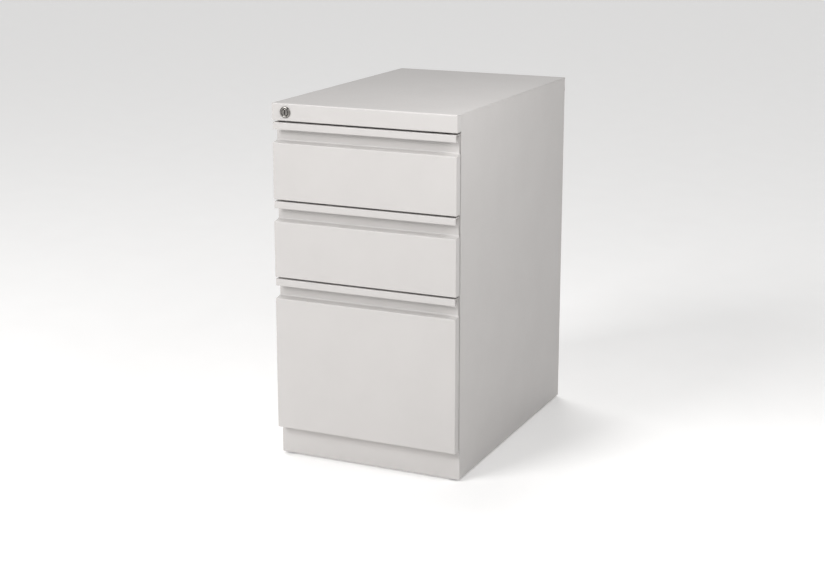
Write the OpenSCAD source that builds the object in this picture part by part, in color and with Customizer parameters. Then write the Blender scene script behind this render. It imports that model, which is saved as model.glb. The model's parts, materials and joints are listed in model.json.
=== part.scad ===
// Three-drawer pedestal filing cabinet: two box drawers over one file drawer.
// Millimetres. +Z is up, the drawers open towards -Y, and the origin is on the floor
// at the middle of the cabinet's footprint.

/* [Cabinet] */
// Width over the side panels
cabinet_w = 381; // [372:1:400]
// Depth from the drawer faces to the rear flange of the top
cabinet_d = 581; // [576:1:640]
// Height from the floor to the top
cabinet_h = 705; // [700:1:712]
// Thickness of the casing sheet
casing_t = 1; // [0.8:0.1:1.2]
// Outside radius of a folded casing edge
fold_r = 2.4; // [1.8:0.1:3]

/* [Top cap] */
// Height of the front flange that carries the lock
header_h = 33.4; // [31:0.2:36]
// Height of the rear flange
rear_flange_h = 28; // [20:1:30]
// How far the top stands out behind the side panels
rear_overhang = 2.2; // [1.5:0.1:8]
// Height of the fold along each side of the top
side_fold_h = 4; // [3:0.5:12]

/* [Base] */
// Height from the floor to the lowest drawer front
base_h = 62; // [58:1:66]
// Gap under the casing, which the levelling glides hold
floor_gap = 4; // [3:0.5:8]
// Radius of a glide's foot
glide_r = 15; // [12:0.5:18]

/* [Drawer fronts] */
// Height of a box drawer with its gap
box_pitch = 152.4; // [150:0.1:154]
// Height of the file drawer with its gap
file_pitch = 304.8; // [300:0.1:308]
// Gap between two fronts
front_gap = 3.3; // [2.5:0.1:4]
// Depth of a front, skin and inner panel together
front_depth = 18; // [17:0.5:20]
// Height of the pull's lip
lip_h = 13.8; // [12:0.2:15]
// Height of the finger recess under the lip
recess_h = 25.2; // [23:0.2:28]
// Fall of the ledge from the recess's back wall to the face
ledge_drop = 2; // [1.5:0.1:4]

/* [Drawer boxes] */
// Thickness of the drawer sheet
drawer_t = 0.9; // [0.8:0.1:1]
// Outside width of a drawer box
drawer_w = 314.6; // [313:0.2:315]
// Length of a drawer box behind its front
drawer_l = 510; // [504:1:512]
// Side height of a box drawer
box_side_h = 104; // [100:1:106]
// Side height of the file drawer
file_side_h = 256; // [250:1:262]

/* [Slides] */
// Length of a slide
slide_l = 508; // [500:1:512]
// Travel of a box drawer
box_travel = 380; // [360:5:385]
// Travel of the file drawer
file_travel = 500; // [480:5:505]
// Radius of a bearing ball
ball_r = 1.65; // [1.6:0.01:1.68]

/* [Lock] */
// Distance of the lock from the left side
lock_inset = 30; // [28:0.5:32]
// How far the lock stands out of the header
lock_proud = 4; // [3:0.5:5]
// Radius of the lock's bezel
bezel_r = 11; // [10.5:0.1:12]
// Radius of the circle that the cam's pin runs on
cam_pin_circle_r = 8; // [7.5:0.1:8]

/* [Hidden] */
$fn = 48;

// Finishes
paint = [0.80, 0.79, 0.78];
paint_inside = [0.74, 0.73, 0.72];
zinc = [0.72, 0.74, 0.76];
chrome = [0.62, 0.63, 0.64];
dark_steel = [0.30, 0.30, 0.32];
black_nylon = [0.06, 0.06, 0.06];
white_nylon = [0.86, 0.86, 0.83];

// Main planes
half_w = cabinet_w / 2;
inside_x = half_w - casing_t;
rear_y = (cabinet_d + lock_proud) / 2;
face_y = rear_y - cabinet_d;
front_back_y = face_y + front_depth;
casing_y = front_back_y + 2;
back_y = rear_y - rear_overhang;
header_z = cabinet_h - header_h;
seam = 0.4;
bend_steps = 4;

// Casing folds
front_flange_x = 168;
rear_flange_w = 14;
bottom_flange_w = 9;
tongue_h = 8;
panel_top_z = cabinet_h - side_fold_h - 0.2;
kick_top_z = base_h;
pan_z = base_h - 5;
pan_flange_h = 13;
header_return = 14;

// Uprights and slides
upright_x = drawer_w / 2 + 12.7;
upright_w = 30;
slide_y = casing_y + 4.5;
upright_ys = [casing_y + 2.5, slide_y + slide_l - 22 - upright_w / 2];
slide_t = 1.2;
screw_ys = [slide_y + 15, upright_ys[1] + upright_w / 2];

// Drawers: [bottom of the front, height of the front, side height of the box, height of the slide's middle]
box_foot = 10;
file_z = base_h;
middle_z = file_z + file_pitch;
top_z = middle_z + box_pitch;
slide_rise_box = 40;
slide_rise_file = 110;
file_drawer = [file_z, file_pitch - front_gap, file_side_h, file_z + box_foot + slide_rise_file];
middle_drawer = [middle_z, box_pitch - front_gap, box_side_h, middle_z + box_foot + slide_rise_box];
top_drawer = [top_z, box_pitch - front_gap, box_side_h, top_z + box_foot + slide_rise_box];

// Cross-sections of the slides, across from the upright (first) and up from the slide's middle (second)
slide_total_t = 12.7;
box_slide_h = 35;
file_slide_h = 45;
ball_gap = 3.4;

// Lock
lock_x = lock_inset - half_w;
lock_z = header_z + header_h / 2;
plug_r = 6.5;
barrel_r = 9;
barrel_l = 28;
cam_y = face_y + barrel_l + 0.2;
cam_t = 2.5;
cam_pin_r = 2;
cam_start = 45;
lock_travel = 2 * cam_pin_circle_r * sin(cam_start);
bar_x = [-186, -184];
bar_y = [casing_y + 40.5, casing_y + 56.5];
hook_y = [bar_y[0] + 2, bar_y[0] + 8];
hook_h = 10;
hook_below_catch = 4;
catch_rise = [83, 228];

// Glides
glide_xs = [-1, 1] * (half_w - 25);
glide_ys = [casing_y + 30, back_y - 30];
stem_r = 4;

// ---------- helpers ----------

function unit(v) = v / norm(v);
function left_of(v) = [-v[1], v[0]];
function turn_sign(u, v) = u[0] * v[1] - u[1] * v[0] < 0 ? -1 : 1;

// Arc that rounds corner b of the line a-b-c
function bend_arc(a, b, c, r) =
    let (
        u = unit(a - b),
        v = unit(c - b),
        half = acos(u * v) / 2,
        centre = b + unit(u + v) * (r / sin(half)),
        start = b + u * (r / tan(half)) - centre,
        end = b + v * (r / tan(half)) - centre,
        from = atan2(start[1], start[0]),
        sweep = turn_sign(start, end) * (180 - 2 * half)
    )
    [for (i = [0 : bend_steps]) centre + r * [cos(from + sweep * i / bend_steps), sin(from + sweep * i / bend_steps)]];

// Polyline with its inner corners rounded
function bent(path, r) = [
    path[0],
    for (i = [1 : len(path) - 2]) each bend_arc(path[i - 1], path[i], path[i + 1], r),
    path[len(path) - 1]
];

// Polyline moved sideways by d, mitred at its corners
function beside(p, d) = [
    for (i = [0 : len(p) - 1])
    let (
        into = unit(p[max(i, 1)] - p[max(i, 1) - 1]),
        out = unit(p[min(i, len(p) - 2) + 1] - p[min(i, len(p) - 2)]),
        n = left_of(unit(into + out))
    )
    p[i] + n * d / (n * left_of(into))
];

function reversed(p) = [for (i = [len(p) - 1 : -1 : 0]) p[i]];

// Section of a folded sheet of thickness t, whose middle follows path
module sheet(path, t, r) {
    middle = bent(path, r);
    polygon(concat(beside(middle, t / 2), reversed(beside(middle, -t / 2))));
}

// Extrusions of a section along one axis, between two places on it
module along_x(x0, x1) { translate([x0, 0, 0]) rotate([90, 0, 90]) linear_extrude(x1 - x0) children(); }
module along_y(y0, y1) { translate([0, y1, 0]) rotate([90, 0, 0]) linear_extrude(y1 - y0) children(); }
module along_z(z0, z1) { translate([0, 0, z0]) linear_extrude(z1 - z0) children(); }

// Box between two places on each axis
module block(x, y, z) { translate([x[0], y[0], z[0]]) cube([x[1] - x[0], y[1] - y[0], z[1] - z[0]]); }

// Cylinders along Y and X, from a start and over a length
module rod_y(x, y, z, r, l) { translate([x, y, z]) rotate([-90, 0, 0]) cylinder(r = r, h = l); }
module rod_x(x, y, z, r, l) { translate([x, y, z]) rotate([0, 90, 0]) cylinder(r = r, h = l); }

// The children on the right side, or mirrored to the left
module on_side(side) { mirror([side < 0 ? 1 : 0, 0, 0]) children(); }

// ---------- casing ----------

// One sheet: header with its return, top, rear flange, short side folds and the header's ends
module top_cap() {
    mid = casing_t / 2;
    color(paint) difference() {
        intersection() {
            union() {
                along_x(-half_w, half_w)
                    sheet([
                        [face_y + header_return, header_z + mid],
                        [face_y + mid, header_z + mid],
                        [face_y + mid, cabinet_h - mid],
                        [rear_y - mid, cabinet_h - mid],
                        [rear_y - mid, cabinet_h - rear_flange_h]
                    ], casing_t, fold_r - mid);
                for (side = [-1, 1]) on_side(side) union() {
                    block([inside_x, half_w], [face_y + mid, rear_y - mid], [cabinet_h - side_fold_h, cabinet_h - mid]);
                    block([inside_x, half_w], [face_y + mid, casing_y - 0.2], [header_z + mid, cabinet_h - mid]);
                }
            }
            along_y(face_y, rear_y) arch(half_w, header_z, cabinet_h, fold_r);
        }
        rod_y(lock_x, face_y - 1, lock_z, barrel_r + 0.1, 3);
    }
}

// Rectangle from z0 to z1 whose two upper corners are rounded
module arch(x, z0, z1, r) {
    polygon(concat(
        [[-x, z0]],
        bend_arc([-x, z0], [-x, z1], [x, z1], r),
        bend_arc([-x, z1], [x, z1], [x, z0], r),
        [[x, z0]]
    ));
}

module side_panel(side) {
    mid = casing_t / 2;
    above_kick = kick_top_z + seam;
    color(paint) on_side(side) union() {
        along_z(above_kick, header_z - seam)
            sheet([
                [front_flange_x, casing_y + mid],
                [half_w - mid, casing_y + mid],
                [half_w - mid, back_y - mid],
                [half_w - rear_flange_w, back_y - mid]
            ], casing_t, fold_r - mid);
        for (part = [[floor_gap, above_kick, casing_t + 0.1], [header_z - seam, panel_top_z, 0]])
            along_z(part[0], part[1])
                sheet([
                    [half_w - mid, casing_y + part[2]],
                    [half_w - mid, back_y - mid],
                    [half_w - rear_flange_w, back_y - mid]
                ], casing_t, fold_r - mid);
        block([half_w - bottom_flange_w, inside_x + mid], [casing_y + 16, back_y - 16], [floor_gap, floor_gap + casing_t]);
        block([inside_x - casing_t, inside_x], [casing_y + 4, back_y - 6], [panel_top_z - tongue_h, cabinet_h - casing_t]);
        block([inside_x - mid, inside_x + mid], [casing_y + 4, back_y - 6], [panel_top_z - tongue_h, panel_top_z - 2]);
    }
}

module back_panel() {
    color(paint) union() {
        block([fold_r - half_w, half_w - fold_r], [back_y - 2 * casing_t, back_y - casing_t],
            [floor_gap + 8, cabinet_h - casing_t]);
        for (z = [floor_gap + 8, cabinet_h - 40])
            block([20 - half_w, half_w - 20], [back_y - 10, back_y - casing_t], [z, z + casing_t]);
    }
}

module base_pan() {
    x = inside_x;
    y = [casing_y + casing_t, back_y - fold_r];
    color(paint_inside) difference() {
        block([-x, x], y, [pan_z - pan_flange_h, pan_z + casing_t]);
        block([casing_t - x, x - casing_t], [y[0] + casing_t, y[1] - casing_t], [pan_z - pan_flange_h - 1, pan_z]);
        counterweight_holes(3.2);
    }
}

module toe_kick_plate() {
    mid = casing_t / 2;
    plate_y = casing_y + mid;
    color(paint) union() {
        block([-half_w, half_w], [casing_y, casing_y + casing_t], [floor_gap + fold_r, kick_top_z - fold_r]);
        along_x(-front_flange_x, front_flange_x)
            sheet([
                [casing_y + 15, kick_top_z - mid - 0.2],
                [plate_y, kick_top_z - mid - 0.2],
                [plate_y, floor_gap + mid],
                [casing_y + 13, floor_gap + mid]
            ], casing_t, fold_r - mid);
        for (side = [-1, 1]) on_side(side)
            block([front_flange_x - 1, half_w], [casing_y, casing_y + casing_t], [floor_gap, kick_top_z - 0.2]);
    }
}

// Channel that the slides of one corner are screwed to, open towards the side panel
module upright(side, y) {
    mid = casing_t / 2;
    color(paint_inside) difference() {
        on_side(side) along_z(pan_z + casing_t, header_z - 1)
            sheet([
                [inside_x, y + mid],
                [upright_x + mid, y + mid],
                [upright_x + mid, y + upright_w - mid],
                [inside_x, y + upright_w - mid]
            ], casing_t, fold_r - mid);
        on_side(side) screw_holes(2.2);
    }
}

// ---------- base ----------

module at_glides() { for (x = glide_xs, y = glide_ys) translate([x, y, 0]) children(); }

module glide_feet() {
    color(black_nylon) at_glides() difference() {
        union() {
            cylinder(r1 = glide_r - 1, r2 = glide_r, h = 1);
            translate([0, 0, 1]) cylinder(r = glide_r, h = 3);
            translate([0, 0, 4]) cylinder(r1 = glide_r, r2 = 8, h = 3);
        }
        translate([0, 0, 3]) cylinder(r = stem_r, h = 10);
    }
}

module glide_stems() { color(zinc) at_glides() translate([0, 0, 3]) cylinder(r = stem_r, h = 33); }

module glide_nuts() {
    color(zinc) at_glides() translate([0, 0, 24]) difference() {
        cylinder(r = 7.5, h = 6, $fn = 6);
        translate([0, 0, -1]) cylinder(r = stem_r, h = 8);
    }
}

module glide_brackets() {
    reach = 20;
    color(dark_steel) for (y = glide_ys, side = [-1, 1]) on_side(side) difference() {
        union() {
            block([half_w - 25 - reach, inside_x], [y - reach, y + reach], [21, 24]);
            block([inside_x - 3, inside_x], [y - reach, y + reach], [21, 36]);
        }
        translate([half_w - 25, y, 20]) cylinder(r = stem_r + 0.1, h = 5);
    }
}

weight_x = 150;
weight_y = [back_y - 160, back_y - 50];
weight_t = 12;

module counterweight_holes(r) {
    for (x = [-100, 100]) translate([x, (weight_y[0] + weight_y[1]) / 2, 0]) cylinder(r = r, h = pan_z + 20);
}

module counterweight() {
    color(dark_steel) difference() {
        block([-weight_x, weight_x], weight_y, [pan_z - weight_t, pan_z]);
        counterweight_holes(3.2);
    }
}

module counterweight_bolts() {
    y = (weight_y[0] + weight_y[1]) / 2;
    color(zinc) for (x = [-100, 100]) translate([x, y, 0]) union() {
        translate([0, 0, pan_z + casing_t]) cylinder(r = 6.5, h = 4, $fn = 6);
        translate([0, 0, pan_z - weight_t - 6]) cylinder(r = 3, h = weight_t + 7.5);
        translate([0, 0, pan_z - weight_t - 5]) cylinder(r = 6.5, h = 5, $fn = 6);
    }
}

// ---------- drawers ----------

// Formed front skin: lip, recess, ledge and face in one sheet, with side flanges beside the face
module drawer_front(d) {
    mid = casing_t / 2;
    bottom = d[0];
    top = bottom + d[1];
    face_top = top - lip_h - recess_h;
    front = face_y + mid;
    wall = face_y + front_depth - 1.5 * casing_t;
    color(paint) union() {
        along_x(-half_w, half_w)
            sheet([
                [face_y + 5, top - lip_h + mid],
                [front, top - lip_h + mid],
                [front, top - mid],
                [wall, top - mid],
                [wall, face_top + ledge_drop - mid],
                [front, face_top - mid],
                [front, bottom + mid],
                [wall + mid, bottom + mid]
            ], casing_t, 1.3);
        for (side = [-1, 1]) on_side(side)
            block([inside_x, half_w], [front, wall + mid], [bottom + mid, face_top - 2]);
    }
}

module drawer_inner_panel(d) {
    inset = 0.8;
    color(paint_inside)
        block([inset - half_w, half_w - inset], [front_back_y - casing_t, front_back_y], [d[0] + inset, d[0] + d[1] - inset]);
}

// Bottom and two sides in one sheet; a box drawer's top edges fold inwards
module box_drawer_body(d) {
    mid = drawer_t / 2;
    x = drawer_w / 2 - mid;
    low = d[0] + box_foot;
    high = low + d[2];
    color(paint_inside) along_y(front_back_y, front_back_y + drawer_l)
        sheet([
            [6 - x, high - mid], [-x, high - mid], [-x, low + mid],
            [x, low + mid], [x, high - mid], [x - 6, high - mid]
        ], drawer_t, 1.3);
}

// The file drawer's top edges step in and stand up again as rails for hanging folders
module file_drawer_body() {
    mid = drawer_t / 2;
    x = drawer_w / 2 - mid;
    rail_x = x - 5;
    rail_h = 8;
    low = file_drawer[0] + box_foot;
    high = low + file_drawer[2];
    color(paint_inside) along_y(front_back_y, front_back_y + drawer_l)
        sheet([
            [-rail_x, high], [-rail_x, high - rail_h], [-x, high - rail_h], [-x, low + mid],
            [x, low + mid], [x, high - rail_h], [rail_x, high - rail_h], [rail_x, high]
        ], drawer_t, 1.3);
}

module drawer_back(d, drop) {
    mid = drawer_t / 2;
    x = drawer_w / 2 - drawer_t - 0.2;
    low = d[0] + box_foot + drawer_t;
    high = low + d[2] - drop;
    y = front_back_y + drawer_l - mid;
    color(paint_inside) along_x(-x, x)
        sheet([[y - 10, low + mid], [y, low + mid], [y, high - mid], [y - 8, high - mid]], drawer_t, 1.3);
}

module drawer_bumpers(d) {
    color(white_nylon) for (side = [-1, 1], z = [d[0] + 20, d[0] + d[1] - 20])
        rod_y(side * (half_w - 12), front_back_y, z, 4, 1.7);
}

function catch_z(d) = d[0] + box_foot + (d[1] > 200 ? catch_rise[1] : catch_rise[0]);

module drawer_lock_catch(d) {
    x = -drawer_w / 2;
    y = hook_y[1] + 0.6;
    z = [catch_z(d), catch_z(d) + hook_h];
    color(zinc) union() {
        block([x - 1.5, x], [y, y + 25], z);
        block([x - 7.7, x], [y, y + 2], z);
    }
}

// ---------- slides ----------

// Moves a section drawn across and up from a slide's middle to its place on one side
module slide_section(side, z, y0, y1) {
    on_side(side) along_y(y0, y1) translate([upright_x, z]) mirror([1, 0]) children();
}

module slide_outer(side, d, h) {
    mid = slide_t / 2;
    v = h / 2 - mid;
    color(zinc) difference() {
        slide_section(side, d[3], slide_y, slide_y + slide_l)
            sheet([[9.9, v - 1.9], [9.9, v], [mid, v], [mid, -v], [9.9, -v], [9.9, 1.9 - v]], slide_t, 0.9);
        on_side(side) screw_holes(2.2);
    }
}

// Inner or middle channel: its web stands at one depth and its flanges reach to another
module slide_channel(side, z, web, reach, half_h, y0, y1) {
    v = half_h - slide_t / 2;
    color(zinc) slide_section(side, z, y0, y1)
        sheet([[reach, v], [web, v], [web, -v], [reach, -v]], slide_t, 0.9);
}

box_inner_half = box_slide_h / 2 - slide_t - ball_gap;
file_middle_half = file_slide_h / 2 - slide_t - ball_gap - 0.1;
file_inner_half = file_middle_half - slide_t - ball_gap - 0.1;
inner_web = slide_total_t - slide_t / 2;

module slide_inner(side, d, reach, half_h) {
    slide_channel(side, d[3], inner_web, reach, half_h, slide_y, slide_y + slide_l);
}

module slide_middle(side) {
    slide_channel(side, file_drawer[3], 5.1, 11.2, file_middle_half, slide_y + 1, slide_y + slide_l - 1);
}

// A pair of cages with their balls: a folded strip on each side, with one row of balls above and one below
module ball_cages(d, y0, length, web, reach, ball_u, ball_v, count) {
    pitch = length / count;
    cage_t = 0.6;
    for (side = [-1, 1]) {
        color(dark_steel) difference() {
            slide_section(side, d[3], y0, y0 + length)
                sheet([[reach, ball_v], [web, ball_v], [web, -ball_v], [reach, -ball_v]], cage_t, 0.5);
            for (i = [0 : count - 1], up = [-1, 1]) ball_at(side, d, y0 + pitch * (i + 0.5), ball_u, up * ball_v)
                cylinder(r = ball_r + 0.15, h = 2, center = true);
        }
        color(chrome) for (i = [0 : count - 1], up = [-1, 1])
            ball_at(side, d, y0 + pitch * (i + 0.5), ball_u, up * ball_v) sphere(r = ball_r);
    }
}

module ball_at(side, d, y, u, v) { translate([side * (upright_x - u), y, d[3] + v]) children(); }

box_cage_l = 110;
box_cage_y = slide_y + box_travel / 2 + 6;
file_cage_l = 220;
file_cage_y = slide_y + 142;
box_ball_v = box_slide_h / 2 - slide_t - ball_gap / 2;
file_outer_ball_v = file_slide_h / 2 - slide_t - (ball_gap + 0.1) / 2;
file_inner_ball_v = file_middle_half - slide_t - (ball_gap + 0.1) / 2;

module box_ball_cages(d) { ball_cages(d, box_cage_y, box_cage_l, 3.5, 9, 7, box_ball_v, 5); }

// Places of the screws of all slides on one side
module at_screws() {
    for (d = [top_drawer, middle_drawer, file_drawer], y = screw_ys) translate([upright_x, y, d[3]]) children();
}

module screw_holes(r) { at_screws() rotate([0, 90, 0]) cylinder(r = r, h = 8, center = true); }

module slide_screws() {
    color(zinc) for (side = [-1, 1]) on_side(side) at_screws() rotate([0, 90, 0]) union() {
        translate([0, 0, -slide_t - 1.6]) cylinder(r1 = 3, r2 = 4, h = 1.6);
        translate([0, 0, -slide_t]) cylinder(r = 2, h = slide_t + 7);
    }
}

// ---------- lock ----------

module lock_housing() {
    color(chrome) difference() {
        union() {
            rod_y(lock_x, face_y, lock_z, barrel_r, barrel_l);
            rod_y(lock_x, face_y - lock_proud + 2, lock_z, bezel_r, lock_proud - 2);
            translate([lock_x, face_y - lock_proud + 1, lock_z]) rotate([-90, 0, 0])
                cylinder(r1 = bezel_r - 1, r2 = bezel_r, h = 1);
        }
        rod_y(lock_x, face_y - lock_proud - 1, lock_z, plug_r + 0.05, barrel_l + lock_proud + 2);
    }
}

module lock_nut() {
    color(zinc) difference() {
        translate([lock_x, face_y + casing_t, lock_z]) rotate([-90, 30, 0]) cylinder(r = 13, h = 3, $fn = 6);
        rod_y(lock_x, face_y, lock_z, barrel_r, 6);
    }
}

module lock_plug() {
    front = face_y - lock_proud;
    color(chrome) difference() {
        rod_y(lock_x, front, lock_z, plug_r, lock_proud + barrel_l + 0.2);
        block([lock_x - 0.8, lock_x + 0.8], [front - 1, front + 16], [lock_z - 4.6, lock_z + 3.4]);
        rod_y(lock_x, front - 1, lock_z + 4.4, 1.1, 5);
    }
}

// Disc behind the plug, with the pin that lifts the bar
module lock_cam() {
    color(zinc) union() {
        rod_y(lock_x, cam_y, lock_z, 11, cam_t);
        translate([-cam_pin_circle_r * cos(cam_start), 0, -cam_pin_circle_r * sin(cam_start)])
            rod_y(lock_x, cam_y + cam_t - 0.5, lock_z, cam_pin_r, 6.5);
    }
}

// Strip beside the drawers, with an arm forwards and a slotted head behind the cam
module lock_bar() {
    pin_x = lock_x - cam_pin_circle_r;
    pin_z = lock_z - cam_pin_circle_r * sin(cam_start);
    head_z = [pin_z - 6.6, pin_z + 7.2];
    head_y = [cam_y + cam_t + 2.3, cam_y + cam_t + 3.8];
    slot_half = cam_pin_r + 0.6;
    color(zinc) difference() {
        union() {
            block(bar_x, bar_y, [catch_z(file_drawer) - hook_h - 20, head_z[1]]);
            block(bar_x, [head_y[0], bar_y[1]], head_z);
            block([bar_x[0], lock_x + 4], head_y, head_z);
        }
        block([pin_x - slot_half, pin_x + cam_pin_circle_r * (1 - cos(cam_start)) + slot_half],
            [head_y[0] - 1, head_y[1] + 1], [pin_z - slot_half, pin_z + slot_half]);
    }
}

module lock_bar_hooks() {
    color(zinc) for (d = [top_drawer, middle_drawer, file_drawer])
        block([bar_x[1], -drawer_w / 2 - 2.7], hook_y,
            [catch_z(d) - hook_below_catch - hook_h, catch_z(d) - hook_below_catch]);
}

module lock_bar_guides() {
    slack = 0.3;
    color(white_nylon) for (z = [top_drawer[0] - 20, middle_drawer[0] - 6]) difference() {
        block([-inside_x, bar_x[1] + 2], [bar_y[0] - 4, bar_y[1] + 4], [z, z + 16]);
        block([bar_x[0] - slack, bar_x[1] + slack], [bar_y[0] - slack, bar_y[1] + slack], [z - 1, z + 17]);
    }
}

// ---------- nodes ----------

top_cap();
side_panel(-1);  // left_side_panel
side_panel(1);  // right_side_panel
back_panel();
base_pan();
toe_kick_plate();
upright(-1, upright_ys[0]);  // front_left_upright
upright(1, upright_ys[0]);  // front_right_upright
upright(-1, upright_ys[1]);  // rear_left_upright
upright(1, upright_ys[1]);  // rear_right_upright
glide_feet();
glide_stems();
glide_nuts();
glide_brackets();
counterweight();
counterweight_bolts();
lock_housing();
lock_nut();
lock_plug();
lock_cam();
lock_bar();
lock_bar_hooks();
lock_bar_guides();
slide_screws();

drawer_front(top_drawer);  // top_drawer_front
drawer_inner_panel(top_drawer);  // top_drawer_inner_panel
box_drawer_body(top_drawer);  // top_drawer_body
drawer_back(top_drawer, 3);  // top_drawer_back
drawer_bumpers(top_drawer);  // top_drawer_bumpers
drawer_lock_catch(top_drawer);  // top_drawer_lock_catch
drawer_front(middle_drawer);  // middle_drawer_front
drawer_inner_panel(middle_drawer);  // middle_drawer_inner_panel
box_drawer_body(middle_drawer);  // middle_drawer_body
drawer_back(middle_drawer, 3);  // middle_drawer_back
drawer_bumpers(middle_drawer);  // middle_drawer_bumpers
drawer_lock_catch(middle_drawer);  // middle_drawer_lock_catch
drawer_front(file_drawer);  // file_drawer_front
drawer_inner_panel(file_drawer);  // file_drawer_inner_panel
file_drawer_body();
drawer_back(file_drawer, 12);  // file_drawer_back
drawer_bumpers(file_drawer);  // file_drawer_bumpers
drawer_lock_catch(file_drawer);  // file_drawer_lock_catch

slide_outer(-1, top_drawer, box_slide_h);  // top_slide_outer_left
slide_outer(1, top_drawer, box_slide_h);  // top_slide_outer_right
slide_inner(-1, top_drawer, 4.8, box_inner_half);  // top_slide_inner_left
slide_inner(1, top_drawer, 4.8, box_inner_half);  // top_slide_inner_right
box_ball_cages(top_drawer);  // top_slide_ball_cages
slide_outer(-1, middle_drawer, box_slide_h);  // middle_slide_outer_left
slide_outer(1, middle_drawer, box_slide_h);  // middle_slide_outer_right
slide_inner(-1, middle_drawer, 4.8, box_inner_half);  // middle_slide_inner_left
slide_inner(1, middle_drawer, 4.8, box_inner_half);  // middle_slide_inner_right
box_ball_cages(middle_drawer);  // middle_slide_ball_cages
slide_outer(-1, file_drawer, file_slide_h);  // file_slide_outer_left
slide_outer(1, file_drawer, file_slide_h);  // file_slide_outer_right
slide_inner(-1, file_drawer, 7.2, file_inner_half);  // file_slide_inner_left
slide_inner(1, file_drawer, 7.2, file_inner_half);  // file_slide_inner_right
slide_middle(-1);  // file_slide_middle_left
slide_middle(1);  // file_slide_middle_right
ball_cages(file_drawer, file_cage_y, file_cage_l, 3.5, 9, 7, file_outer_ball_v, 6);  // file_slide_outer_ball_cages
ball_cages(file_drawer, file_cage_y, file_cage_l, 6.5, 11, 9, file_inner_ball_v, 6);  // file_slide_inner_ball_cages
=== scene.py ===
import json
import math

import bpy
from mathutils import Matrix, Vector


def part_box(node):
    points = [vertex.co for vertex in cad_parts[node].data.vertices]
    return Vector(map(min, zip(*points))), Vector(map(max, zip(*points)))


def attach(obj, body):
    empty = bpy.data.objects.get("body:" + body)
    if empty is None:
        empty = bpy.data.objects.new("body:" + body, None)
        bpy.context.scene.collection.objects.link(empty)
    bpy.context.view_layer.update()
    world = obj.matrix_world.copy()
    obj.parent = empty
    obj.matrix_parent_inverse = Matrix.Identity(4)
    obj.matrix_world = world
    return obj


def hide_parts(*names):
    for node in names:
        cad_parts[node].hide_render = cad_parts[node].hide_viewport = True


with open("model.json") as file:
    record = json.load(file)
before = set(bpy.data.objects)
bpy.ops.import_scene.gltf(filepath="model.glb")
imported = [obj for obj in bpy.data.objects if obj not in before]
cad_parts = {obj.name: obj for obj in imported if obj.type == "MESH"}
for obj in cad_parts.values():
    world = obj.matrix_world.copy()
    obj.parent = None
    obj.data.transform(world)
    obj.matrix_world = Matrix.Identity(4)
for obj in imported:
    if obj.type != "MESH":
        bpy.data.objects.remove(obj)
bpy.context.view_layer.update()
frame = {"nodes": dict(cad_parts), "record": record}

mm = 0.001
halfTurn = math.pi
quarterTurn = halfTurn / 2
near = 0.1 * mm  # places closer than this count as the same
hair = 0.01 * mm  # takes in the points that lie on a limit

# main planes of the cabinet, read from the frame
capLow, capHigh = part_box("top_cap")
panelLow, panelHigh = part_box("right_side_panel")
halfWidth = capHigh.x
faceY, rearY = capLow.y, capHigh.y
casingY, backY = panelLow.y, panelHigh.y
headerZ, topZ = capLow.z, capHigh.z
floorGap = panelLow.z
lockLow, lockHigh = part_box("lock_housing")
lockCentre = Vector(((lockLow.x + lockHigh.x) / 2, lockLow.y, (lockLow.z + lockHigh.z) / 2))
sheet = 1.0 * mm
halfSheet = sheet / 2

nodesOf = frame["nodes"]
drawerNames = ["top", "middle", "file"]


def startFresh():
    current = bpy.context.object
    if current and current.mode != "OBJECT":
        bpy.ops.object.mode_set(mode="OBJECT")
    bpy.ops.object.select_all(action="DESELECT")


def activate(piece):
    startFresh()
    piece.select_set(True)
    bpy.context.view_layer.objects.active = piece


def pick(piece, kind, test):
    # leaves only the verts, edges or faces that pass the test selected, in edit mode
    bpy.ops.object.mode_set(mode="EDIT")
    bpy.ops.mesh.select_mode(type=kind)
    bpy.ops.mesh.select_all(action="DESELECT")
    bpy.ops.object.mode_set(mode="OBJECT")
    mesh = piece.data
    places = [v.co for v in mesh.vertices]
    if kind == "VERT":
        for v in mesh.vertices:
            v.select = bool(test(v.co))
    if kind == "EDGE":
        for e in mesh.edges:
            e.select = bool(test(places[e.vertices[0]], places[e.vertices[1]]))
    if kind == "FACE":
        for f in mesh.polygons:
            f.select = bool(test(f.center, f.normal))
    bpy.ops.object.mode_set(mode="EDIT")


def pickFolds(piece, angle=30):
    # leaves the edges selected where two faces meet at more than the angle
    mesh = piece.data
    bpy.ops.object.mode_set(mode="OBJECT")
    normals = {}
    for f in mesh.polygons:
        for key in f.edge_keys:
            normals.setdefault(key, []).append(f.normal.copy())
    bpy.ops.object.mode_set(mode="EDIT")
    bpy.ops.mesh.select_mode(type="EDGE")
    bpy.ops.mesh.select_all(action="DESELECT")
    bpy.ops.object.mode_set(mode="OBJECT")
    for e in mesh.edges:
        pair = normals.get(tuple(sorted(e.vertices)), [])
        e.select = len(pair) == 2 and abs(pair[0].angle(pair[1], 0)) > math.radians(angle)
    bpy.ops.object.mode_set(mode="EDIT")


def cutAcross(place, normal):
    bpy.ops.mesh.select_all(action="SELECT")
    bpy.ops.mesh.bisect(plane_co=place, plane_no=normal)


def applyModifier(piece, kind, settings):
    bpy.ops.object.mode_set(mode="OBJECT")
    step = piece.modifiers.new(kind.title(), kind)
    for key, value in settings.items():
        setattr(step, key, value)
    bpy.ops.object.modifier_apply(modifier=step.name)


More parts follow.
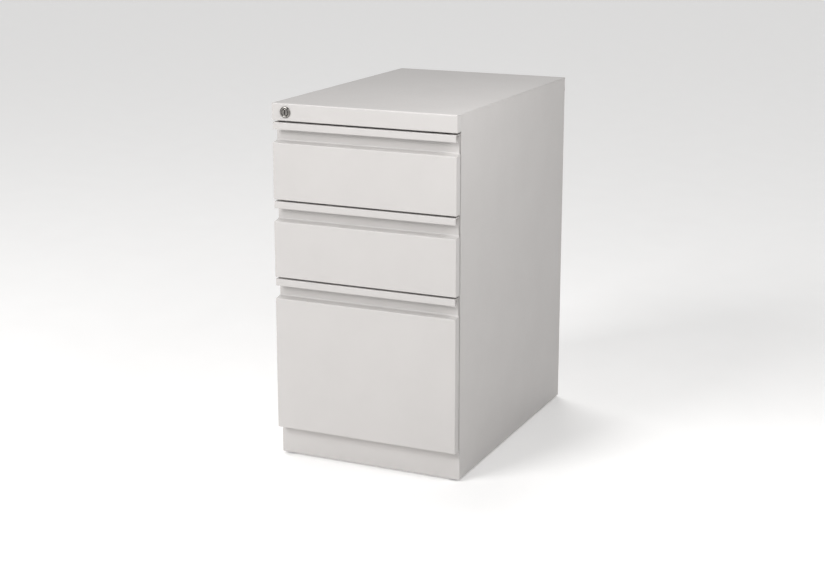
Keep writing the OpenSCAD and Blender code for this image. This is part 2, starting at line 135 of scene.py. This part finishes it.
def addStrip(name, along, start, end, path):
    # a thin strip along X (0) or Z (2), folded along a path in the two other axes
    startFresh()
    u, v = [axis for axis in range(3) if axis != along]

    def place(s, point):
        p = [0, 0, 0]
        p[along], p[u], p[v] = s, point[0], point[1]
        return Vector(p)

    turn = {0: (0, 0, 0), 2: (0, quarterTurn, 0)}[along]
    bpy.ops.mesh.primitive_plane_add(size=end - start, rotation=turn)
    piece = bpy.context.object
    piece.name = name
    bpy.ops.object.transform_apply(location=True, rotation=True, scale=True)
    pick(piece, "VERT", lambda p: p.y < 0)
    bpy.ops.mesh.delete(type="VERT")
    pick(piece, "VERT", lambda p: True)
    bpy.ops.object.mode_set(mode="OBJECT")
    centre = sum((v.co for v in piece.data.vertices), Vector()) / 2
    bpy.ops.object.mode_set(mode="EDIT")
    bpy.ops.mesh.select_mode(type="EDGE")
    bpy.ops.mesh.select_all(action="SELECT")
    bpy.ops.transform.translate(value=place((start + end) / 2, path[0]) - centre)
    for before, after in zip(path, path[1:]):
        step = place(0, after) - place(0, before)
        bpy.ops.mesh.extrude_edges_move(TRANSFORM_OT_translate={"value": step})
    return piece


def addBlock(name, low, high):
    startFresh()
    low, high = Vector(low), Vector(high)
    bpy.ops.mesh.primitive_cube_add(size=1, location=(low + high) / 2, scale=high - low)
    piece = bpy.context.object
    piece.name = name
    bpy.ops.object.transform_apply(location=True, rotation=True, scale=True)
    bpy.ops.object.mode_set(mode="EDIT")
    return piece


def addTurned(name, centre, profile, steps):
    # a turned part on an axis along Y: the profile gives (depth from the centre, radius)
    width = 1 * mm  # the strip is cut back to its outline and then spun
    piece = addStrip(name, 0, 0, width, [(centre[1] + y, centre[2] + r) for y, r in profile])
    pick(piece, "VERT", lambda p: p.x > width / 2)
    bpy.ops.mesh.delete(type="VERT")
    bpy.ops.mesh.select_all(action="SELECT")
    bpy.ops.transform.translate(value=(centre[0], 0, 0))
    bpy.ops.mesh.spin(steps=steps, angle=2 * halfTurn, center=centre, axis=(0, 1, 0))
    bpy.ops.mesh.select_all(action="SELECT")
    bpy.ops.mesh.remove_doubles(threshold=hair / 2)
    bpy.ops.mesh.normals_make_consistent(inside=False)
    bpy.ops.object.mode_set(mode="OBJECT")
    return piece


def bendFolds(piece, radius, steps):
    pickFolds(piece)
    bpy.ops.mesh.bevel(offset=radius, segments=steps, affect="EDGES")


sheetEdge = {"width": 0.22 * mm, "steps": 2, "angle": 50}


def giveSheet(piece, look=sheetEdge):
    # turns a folded surface into sheet metal with its cut edges eased
    activate(piece)
    bpy.ops.object.mode_set(mode="EDIT")
    bpy.ops.mesh.select_all(action="SELECT")
    bpy.ops.mesh.remove_doubles(threshold=hair / 2)
    bpy.ops.mesh.normals_make_consistent(inside=False)
    applyModifier(piece, "SOLIDIFY", {"thickness": sheet, "offset": 0,
                                      "use_quality_normals": True})
    applyModifier(piece, "BEVEL", {"width": look["width"], "segments": look["steps"],
                                   "limit_method": "ANGLE",
                                   "angle_limit": math.radians(look["angle"])})
    bpy.ops.object.mode_set(mode="EDIT")
    bpy.ops.mesh.select_all(action="SELECT")
    bpy.ops.mesh.dissolve_degenerate(threshold=hair / 5)
    bpy.ops.object.mode_set(mode="OBJECT")


def cutWith(piece, cutter):
    activate(piece)
    applyModifier(piece, "BOOLEAN", {"operation": "DIFFERENCE", "solver": "EXACT",
                                     "object": cutter})
    bpy.data.objects.remove(cutter)


def finishPiece(piece, material, body, replaced, angle=35):
    activate(piece)
    bpy.ops.object.shade_smooth_by_angle(angle=math.radians(angle))
    # keeps the big flat faces flat next to their rounded folds
    applyModifier(piece, "WEIGHTED_NORMAL", {"keep_sharp": True, "weight": 50})
    piece.data.materials.clear()
    piece.data.materials.append(material)
    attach(piece, body)
    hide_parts(replaced)


def linear(hexCode):
    # an sRGB hex colour as the linear colour that a shader takes
    channels = [int(hexCode[i:i + 2], 16) / 255 for i in (1, 3, 5)]
    return [c / 12.92 if c <= 0.04045 else ((c + 0.055) / 1.055) ** 2.4 for c in channels] + [1]


def addNode(tree, kind, inputs=None, **settings):
    made = tree.nodes.new("ShaderNode" + kind)
    for key, value in settings.items():
        setattr(made, key, value)
    for key, value in (inputs or {}).items():
        if isinstance(value, bpy.types.NodeSocket):
            tree.links.new(value, made.inputs[key])
        else:
            made.inputs[key].default_value = value
    return made


def newMaterial(name):
    material = bpy.data.materials.new(name)
    material.use_nodes = True
    material.node_tree.nodes.clear()
    return material, material.node_tree


def addRamp(tree, value, low, high, lowColour, highColour):
    ramp = addNode(tree, "ValToRGB", {"Fac": value})
    first, last = ramp.color_ramp.elements
    first.position, last.position = low, high
    first.color, last.color = lowColour, highColour
    return ramp.outputs["Color"]


# polyester powder coat on steel: satin, with a fine orange peel that breaks up reflections
shellPaint = {"colour": "#C6C3C1", "shade": "#C4C1BF", "roughness": 0.42, "cloud": 90 * mm,
              "peel": 3.5 * mm, "grain": 0.9 * mm, "peelDepth": 0.012 * mm}

# the same powder coat inside the drawers, put on thinner: drier and a little darker
innerPaint = {"colour": "#C0BCBB", "shade": "#BCB8B7", "roughness": 0.5, "cloud": 90 * mm,
              "peel": 3 * mm, "grain": 0.9 * mm, "peelDepth": 0.02 * mm}


def powderCoat(name, look):
    material, tree = newMaterial(name)
    place = addNode(tree, "TexCoord").outputs["Object"]
    cloud = addNode(tree, "TexNoise", {"Vector": place, "Scale": 1 / look["cloud"],
                                       "Detail": 3, "Roughness": 0.55})
    # the real peel is about 1.5 mm across; it is drawn coarser so that it shows
    peel = addNode(tree, "TexNoise", {"Vector": place, "Scale": 1 / look["peel"],
                                      "Detail": 2, "Roughness": 0.5})
    grain = addNode(tree, "TexNoise", {"Vector": place, "Scale": 1 / look["grain"], "Detail": 1})
    colour = addRamp(tree, cloud.outputs["Fac"], 0.35, 0.65,
                     linear(look["shade"]), linear(look["colour"]))
    rough = addNode(tree, "MapRange", {"Value": peel.outputs["Fac"], "From Min": 0.3, "From Max": 0.7,
                                       "To Min": look["roughness"] - 0.04,
                                       "To Max": look["roughness"] + 0.05})
    heights = addNode(tree, "Math", {0: grain.outputs["Fac"], 1: 0.25, 2: peel.outputs["Fac"]},
                      operation="MULTIPLY_ADD")
    bump = addNode(tree, "Bump", {"Height": heights.outputs["Value"],
                                  "Distance": look["peelDepth"], "Strength": 1.0})
    shader = addNode(tree, "BsdfPrincipled", {"Base Color": colour, "IOR": 1.5,
                                              "Roughness": rough.outputs["Result"],
                                              "Normal": bump.outputs["Normal"]})
    addNode(tree, "OutputMaterial", {"Surface": shader.outputs["BSDF"]})
    return material


# bright zinc plate on cold-rolled steel: faint blue-grey crystals and a soft drawn grain
zincLook = {"colour": "#C3C5C7", "shade": "#BABDC0", "roughness": 0.32, "crystal": 4 * mm}

# polished nickel plate over die-cast zinc: bright and slightly warm, with faint polishing marks
nickelLook = {"colour": "#94918D", "shade": "#7D7A77", "roughness": 0.24, "crystal": 3 * mm}

# phosphated steel: dark, dry and slightly mottled
phosphateLook = {"colour": "#4A4B4D", "shade": "#343537", "roughness": 0.55, "crystal": 2.5 * mm}

drawnGrain = (900, 14, 900)  # waves per metre: the sheet is drawn along Y, so they are long there


def coatedMetal(name, look):
    material, tree = newMaterial(name)
    place = addNode(tree, "TexCoord").outputs["Object"]
    crystals = addNode(tree, "TexVoronoi", {"Vector": place, "Scale": 1 / look["crystal"],
                                            "Randomness": 1.0})
    stretched = addNode(tree, "Mapping", {"Vector": place, "Scale": drawnGrain})
    grain = addNode(tree, "TexNoise", {"Vector": stretched.outputs["Vector"], "Scale": 1.0,
                                       "Detail": 2})
    tint = addNode(tree, "SeparateColor", {"Color": crystals.outputs["Color"]})
    colour = addRamp(tree, tint.outputs["Red"], 0.1, 0.9,
                     linear(look["shade"]), linear(look["colour"]))
    rough = addNode(tree, "MapRange", {"Value": grain.outputs["Fac"],
                                       "To Min": look["roughness"] - 0.08,
                                       "To Max": look["roughness"] + 0.1})
    bump = addNode(tree, "Bump", {"Height": grain.outputs["Fac"], "Distance": 0.01 * mm,
                                  "Strength": 0.6})
    shader = addNode(tree, "BsdfPrincipled", {"Base Color": colour, "Metallic": 1.0,
                                              "Roughness": rough.outputs["Result"],
                                              "Normal": bump.outputs["Normal"]})
    addNode(tree, "OutputMaterial", {"Surface": shader.outputs["BSDF"]})
    return material


# moulded nylon: matte, with a faint spark-eroded texture and slight clouding
nylonLook = {"texture": 0.8 * mm, "textureDepth": 0.03 * mm, "cloud": 9 * mm}


def mouldedNylon(name, light, dark, roughness, look):
    material, tree = newMaterial(name)
    place = addNode(tree, "TexCoord").outputs["Object"]
    texture = addNode(tree, "TexNoise", {"Vector": place, "Scale": 1 / look["texture"], "Detail": 2})
    cloud = addNode(tree, "TexNoise", {"Vector": place, "Scale": 1 / look["cloud"], "Detail": 2})
    colour = addRamp(tree, cloud.outputs["Fac"], 0.3, 0.7, linear(dark), linear(light))
    bump = addNode(tree, "Bump", {"Height": texture.outputs["Fac"],
                                  "Distance": look["textureDepth"], "Strength": 0.8})
    shader = addNode(tree, "BsdfPrincipled", {"Base Color": colour, "Roughness": roughness,
                                              "IOR": 1.53, "Normal": bump.outputs["Normal"]})
    addNode(tree, "OutputMaterial", {"Surface": shader.outputs["BSDF"]})
    return material


powderCoatSatin = powderCoat("powderCoatSatin", shellPaint)
powderCoatInside = powderCoat("powderCoatInside", innerPaint)
brightZinc = coatedMetal("brightZincPlate", zincLook)
nickelPlate = coatedMetal("polishedNickelPlate", nickelLook)
phosphatedSteel = coatedMetal("phosphatedSteel", phosphateLook)
blackNylon = mouldedNylon("blackMouldedNylon", "#2A2A2B", "#1E1E1F", 0.5, nylonLook)
naturalNylon = mouldedNylon("naturalMouldedNylon", "#E6E4DA", "#DAD7CB", 0.45, nylonLook)
print("materials made")


# the top is one folded sheet: its front flange is the header that holds the lock
topCap = {"radius": 2.4 * mm, "steps": 6, "sideFold": 4 * mm, "rearFlange": 28 * mm,
          "headerReturn": 14 * mm, "headerGap": 0.2 * mm, "lockHole": 9.15 * mm, "holeDepth": 12 * mm}


def makeTopCap(look):
    piece = addBlock("topCap", (-halfWidth + halfSheet, faceY + halfSheet, headerZ + halfSheet),
                     (halfWidth - halfSheet, rearY - halfSheet, topZ - halfSheet))
    sideZ, rearZ = topZ - look["sideFold"], topZ - look["rearFlange"]
    endY, returnY = casingY - look["headerGap"], faceY + look["headerReturn"]
    cutAcross((0, 0, sideZ), (0, 0, 1))
    cutAcross((0, 0, rearZ), (0, 0, 1))
    cutAcross((0, endY, 0), (0, 1, 0))
    cutAcross((0, returnY, 0), (0, 1, 0))
    pick(piece, "FACE", lambda c, n: (n.z < -0.9 and c.y > returnY)
         or (abs(n.x) > 0.9 and c.y > endY and c.z < sideZ)
         or (n.y > 0.9 and c.z < rearZ))
    bpy.ops.mesh.delete(type="FACE")
    bpy.ops.mesh.select_all(action="SELECT")
    bpy.ops.mesh.dissolve_limited(angle_limit=math.radians(1))
    bendFolds(piece, look["radius"] - halfSheet, look["steps"])
    giveSheet(piece)
    startFresh()
    bpy.ops.mesh.primitive_cylinder_add(vertices=64, radius=look["lockHole"], depth=look["holeDepth"],
                                        rotation=(quarterTurn, 0, 0),
                                        location=(lockCentre.x, faceY, lockCentre.z))
    cutWith(piece, bpy.context.object)
    finishPiece(piece, powderCoatSatin, "cabinet", "top_cap")


makeTopCap(topCap)
print("top cap made")


# side panels: the front flange stays only beside the drawers and is cut away below the kick top and
# beside the header, the rear and bottom edges turn in
casing = {"radius": 2.4 * mm, "steps": 6, "frontFlangeX": 168 * mm, "rearFlange": 14 * mm,
          "bottomFlange": 9 * mm, "kickTop": 62.4 * mm, "capSeam": 0.03 * mm, "headerSeam": 0.4 * mm}


def makeSidePanel(name, side, look):
    outer = halfWidth - halfSheet
    frontEnd, rearEnd = look["frontFlangeX"], halfWidth - look["rearFlange"]
    path = [(side * frontEnd, casingY + halfSheet), (side * outer, casingY + halfSheet),
            (side * outer, backY - halfSheet), (side * rearEnd, backY - halfSheet)]
    panelTop = topZ - topCap["sideFold"] - look["capSeam"]
    piece = addStrip(name, 2, floorGap + halfSheet, panelTop, path)
    flangeTop = headerZ - look["headerSeam"]
    cutAcross((0, 0, look["kickTop"]), (0, 0, 1))
    cutAcross((0, 0, flangeTop), (0, 0, 1))
    pick(piece, "FACE", lambda c, n: abs(n.y) > 0.9 and c.y < 0
         and not look["kickTop"] < c.z < flangeTop)
    bpy.ops.mesh.delete(type="FACE")
    lowest = floorGap + halfSheet + near
    pick(piece, "EDGE", lambda a, b: max(a.z, b.z) < lowest and abs(a.x - b.x) < near)
    inward = (-side * look["bottomFlange"], 0, 0)
    bpy.ops.mesh.extrude_edges_move(TRANSFORM_OT_translate={"value": inward})
    bendFolds(piece, look["radius"] - halfSheet, look["steps"])
    giveSheet(piece)
    finishPiece(piece, powderCoatSatin, "cabinet",
                name.replace("Panel", "") + "_side_panel")


makeSidePanel("leftPanel", -1, casing)
makeSidePanel("rightPanel", 1, casing)

backSheet = {"radius": 1.9 * mm, "steps": 5, "returnDepth": 9 * mm}


def makeBackPanel(look):
    low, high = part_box("back_panel")
    y = high.y - halfSheet
    z0, z1 = low.z + halfSheet, high.z
    piece = addStrip("backPanel", 0, low.x, high.x, [(y - look["returnDepth"], z0), (y, z0), (y, z1)])
    bendFolds(piece, look["radius"] - halfSheet, look["steps"])
    giveSheet(piece)
    finishPiece(piece, powderCoatSatin, "cabinet", "back_panel")


makeBackPanel(backSheet)

toeKick = {"radius": 1.9 * mm, "steps": 5, "topReturn": 15 * mm, "bottomReturn": 13 * mm,
           "endGap": 0.02 * mm}


def makeToeKick(look):
    low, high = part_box("toe_kick_plate")
    y = low.y + halfSheet
    z0, z1 = low.z + halfSheet, high.z - halfSheet
    edge = casing["frontFlangeX"]
    path = [(y + look["topReturn"], z1), (y, z1), (y, z0), (y + look["bottomReturn"], z0)]
    piece = addStrip("toeKick", 0, low.x + look["endGap"], high.x - look["endGap"], path)
    cutAcross((edge, 0, 0), (1, 0, 0))
    cutAcross((-edge, 0, 0), (1, 0, 0))
    pick(piece, "FACE", lambda c, n: abs(n.z) > 0.9 and abs(c.x) > edge)
    bpy.ops.mesh.delete(type="FACE")
    bendFolds(piece, look["radius"] - halfSheet, look["steps"])
    giveSheet(piece)
    finishPiece(piece, powderCoatSatin, "cabinet", "toe_kick_plate")


makeToeKick(toeKick)
print("casing made")


# each front is folded from one sheet: lip, finger recess, ledge, face and bottom return
drawerFront = {"lip": 13.8 * mm, "recess": 25.2 * mm, "ledgeDrop": 2 * mm, "lipReturn": 5 * mm,
               "radius": 1.9 * mm, "footRadius": 4.5 * mm, "steps": 6, "sideGap": 0.9 * mm,
               "pullInset": 1.4 * mm}


def makeDrawerFront(drawer, look):
    low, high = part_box(drawer + "_drawer_front")
    front, wall = low.y + halfSheet, high.y - halfSheet
    lipZ, faceTop = high.z - look["lip"], high.z - look["lip"] - look["recess"]
    ledgeZ = faceTop + look["ledgeDrop"]
    wide = halfWidth - look["sideGap"] - halfSheet
    # the wall runs into the ledge on a wide concave bend
    bend = look["footRadius"]
    bendY, bendZ = wall - bend, ledgeZ - halfSheet + bend
    turns = [quarterTurn * step / look["steps"] for step in range(look["steps"] + 1)]
    foot = [(bendY + bend * math.cos(turn), bendZ - bend * math.sin(turn)) for turn in turns]
    path = [(front + look["lipReturn"], lipZ + halfSheet), (front, lipZ + halfSheet),
            (front, high.z - halfSheet), (wall, high.z - halfSheet), *foot,
            (front, faceTop - halfSheet), (front, low.z + halfSheet), (wall, low.z + halfSheet)]
    piece = addStrip(drawer + "DrawerFront", 0, -wide, wide, path)
    # the side returns reach up to the middle of that bend, and the pull above is a little shorter
    sideTop = bendZ - bend * math.sin(quarterTurn / 2) + hair
    for side in (-1, 1):
        pick(piece, "VERT", lambda p: side * p.x > 0 and p.z < sideTop)
        bpy.ops.mesh.edge_face_add()
        pick(piece, "VERT", lambda p: side * p.x > 0 and p.z > sideTop)
        bpy.ops.transform.translate(value=(-side * look["pullInset"], 0, 0))
    bpy.ops.mesh.select_all(action="SELECT")
    bpy.ops.mesh.normals_make_consistent(inside=False)
    bendFolds(piece, look["radius"] - halfSheet, look["steps"])
    giveSheet(piece)
    finishPiece(piece, powderCoatSatin, drawer + "_drawer",
                drawer + "_drawer_front")


for drawer in drawerNames:
    makeDrawerFront(drawer, drawerFront)
print("drawer fronts made")

# the sheet that closes the back of a front
liner = {"inset": 3.2 * mm, "endGap": 1 * mm, "corner": 6 * mm, "steps": 6}


def makeLiner(drawer, look):
    low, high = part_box(drawer + "_drawer_inner_panel")
    wide, tall = 2 * (high.x - look["inset"]), high.z - low.z - 2 * look["endGap"]
    startFresh()
    bpy.ops.mesh.primitive_plane_add(size=1, rotation=(quarterTurn, 0, 0))
    piece = bpy.context.object
    piece.name = drawer + "DrawerLiner"
    bpy.ops.object.transform_apply(location=True, rotation=True, scale=True)
    bpy.ops.object.mode_set(mode="EDIT")
    bpy.ops.mesh.select_all(action="SELECT")
    bpy.ops.transform.resize(value=(wide, 1, tall), center_override=(0, 0, 0))
    bpy.ops.transform.translate(value=(0, high.y - halfSheet, (low.z + high.z) / 2))
    bpy.ops.mesh.bevel(offset=look["corner"], segments=look["steps"], affect="VERTICES")
    giveSheet(piece)
    finishPiece(piece, powderCoatInside, drawer + "_drawer",
                drawer + "_drawer_inner_panel")


for drawer in drawerNames:
    makeLiner(drawer, liner)
print("drawer liners made")


# the edges are given in mm as depth behind the face and distance past the inner or outer radius
bezel = {"outer": 11 * mm, "inner": 6.55 * mm, "barrel": 9 * mm, "proud": 4 * mm, "length": 32 * mm,
         "innerEdge": [(1.6, 0), (0.9, 0.35), (0.5, 0.8), (0.1, 1.3), (0, 1.9), (0.15, 2.6)],
         "outerEdge": [(0.55, -0.9), (1.1, -0.35), (1.8, 0)], "steps": 72}


def makeBezel(look):
    outer, inner, proud = look["outer"], look["inner"], look["proud"]
    innerEdge = [(depth * mm, inner + past * mm) for depth, past in look["innerEdge"]]
    outerEdge = [(depth * mm, outer + past * mm) for depth, past in look["outerEdge"]]
    profile = [(look["length"], inner), *innerEdge, *outerEdge, (proud, outer),
               (proud, look["barrel"]), (look["length"], look["barrel"]), (look["length"], inner)]
    piece = addTurned("lockBezel", lockCentre, profile, look["steps"])
    finishPiece(piece, nickelPlate, "cabinet", "lock_housing")


makeBezel(bezel)

# a shallow dish in the face, the key slot and the small round hole above it
plug = {"radius": 6.45 * mm, "length": 32.2 * mm, "steps": 72,
        "edge": [(0.7, 0), (0.35, -0.12), (0.1, -0.4), (0, -0.9)],
        "dishRim": 4.2 * mm, "dishFloor": 3.9 * mm, "dishDepth": 0.25 * mm,
        "slotWidth": 1.7 * mm, "slotLow": 4.6 * mm, "slotHigh": 3.4 * mm, "slotDepth": 16 * mm,
        "pinhole": 1.1 * mm, "pinholeRise": 4.4 * mm, "pinholeDepth": 8 * mm}


def makePlug(look):
    radius, halfSlot = look["radius"], look["slotWidth"] / 2
    edge = [(depth * mm, radius + past * mm) for depth, past in look["edge"]]
    profile = [(look["length"], 0), (look["length"], radius), *edge, (0, look["dishRim"]),
               (look["dishDepth"], look["dishFloor"]), (look["dishDepth"], 0)]
    piece = addTurned("lockPlug", lockCentre, profile, look["steps"])
    c = lockCentre
    clear = 1 * mm  # the cutter starts in front of the face
    cutter = addBlock("keySlot", (c.x - halfSlot, c.y - clear, c.z - look["slotLow"]),
                      (c.x + halfSlot, c.y + look["slotDepth"], c.z + look["slotHigh"]))
    bpy.ops.object.mode_set(mode="OBJECT")
    cutWith(piece, cutter)
    startFresh()
    bpy.ops.mesh.primitive_cylinder_add(vertices=32, radius=look["pinhole"],
                                        depth=look["pinholeDepth"], rotation=(quarterTurn, 0, 0),
                                        location=(c.x, c.y, c.z + look["pinholeRise"]))
    cutWith(piece, bpy.context.object)
    finishPiece(piece, nickelPlate, "lock_plug", "lock_plug")


makePlug(plug)
print("lock made")


# finishes of the parts that keep their CAD shape
slotFinish = {"shell_paint": powderCoatSatin, "inner_paint": powderCoatInside, "zinc_steel": brightZinc,
              "dark_steel": phosphatedSteel, "lock_nickel": nickelPlate, "black_nylon": blackNylon,
              "white_nylon": naturalNylon}
for entry in frame["record"]["subparts"]:
    node = nodesOf[entry["node"]]
    node.data.materials.clear()
    node.data.materials.append(slotFinish[entry["material_slot"]])
print("inner parts finished")


# lengths here are in metres
# each light: kind, power, size across (for a sun, its width in degrees) and place
studio = {"floor": "#ECEBEA", "floorShade": "#E8E7E6", "fibres": 9, "roughness": 0.9, "glow": 0.26,
          "radius": 40, "rim": 4, "rimCurve": 3.6, "world": 0.215, "aim": (0, 0, 0.38),
          "lights": {"key": ("AREA", 105, 1.7, (-1.6, -3.1, 2.6)),
                     "sky": ("SUN", 1.1, 25, (-1.2, 1.2, 4.0)),
                     "side": ("AREA", 6, 0.5, (0.75, -0.5, 1.3))}}


def makeStudio(look):
    startFresh()
    bpy.ops.mesh.primitive_circle_add(vertices=96, radius=look["radius"], fill_type="NGON")
    floor = bpy.context.object
    floor.name = "studioFloor"
    # far out the paper curves up, so that no hard horizon shows behind the cabinet
    pick(floor, "EDGE", lambda a, b: True)
    bpy.ops.mesh.extrude_edges_move(TRANSFORM_OT_translate={"value": (0, 0, look["rim"])})
    pick(floor, "EDGE", lambda a, b: max(a.z, b.z) < look["rim"] / 2)
    bpy.ops.mesh.bevel(offset=look["rimCurve"], segments=8, affect="EDGES")
    bpy.ops.object.mode_set(mode="OBJECT")
    bpy.ops.object.shade_smooth()
    # matte backdrop paper with a slight glow, so that it stays pale far out
    material, tree = newMaterial("mattePaperFloor")
    place = addNode(tree, "TexCoord").outputs["Object"]
    fibre = addNode(tree, "TexNoise", {"Vector": place, "Scale": look["fibres"], "Detail": 3})
    colour = addRamp(tree, fibre.outputs["Fac"], 0.2, 0.8,
                     linear(look["floorShade"]), linear(look["floor"]))
    shader = addNode(tree, "BsdfPrincipled", {"Base Color": colour, "Roughness": look["roughness"],
                                              "Emission Color": linear("#FFFFFF"),
                                              "Emission Strength": look["glow"]})
    addNode(tree, "OutputMaterial", {"Surface": shader.outputs["BSDF"]})
    floor.data.materials.append(material)

    world = bpy.data.worlds.new("studioWorld")
    world.use_nodes = True
    background = world.node_tree.nodes["Background"]
    background.inputs["Color"].default_value = linear("#FFFFFF")
    background.inputs["Strength"].default_value = look["world"]
    bpy.context.scene.world = world

    for name, (kind, power, size, place) in look["lights"].items():
        bpy.ops.object.light_add(type=kind, location=place)
        light = bpy.context.object
        light.name = name + "Light"
        light.visible_camera = False
        light.data.energy = power
        if kind == "SUN":
            light.data.angle = math.radians(size)
        else:
            light.data.size = size
        aim = Vector(look["aim"]) - Vector(place)
        light.rotation_euler = aim.to_track_quat("-Z", "Y").to_euler()
    bpy.context.scene.view_settings.view_transform = "Standard"


# angles in degrees, lens in millimetres
view = {"place": (1.3047, -2.9216, 1.1418), "pitch": 13.62, "yaw": 24.55, "lens": 70.43,
        "shift": -0.04}


def makeCamera(look):
    startFresh()
    bpy.ops.object.camera_add(location=look["place"],
                              rotation=(math.radians(90 - look["pitch"]), 0, math.radians(look["yaw"])))
    camera = bpy.context.object
    camera.data.lens, camera.data.shift_y = look["lens"], look["shift"]
    bpy.context.scene.camera = camera


makeStudio(studio)
makeCamera(view)
print("studio ready")
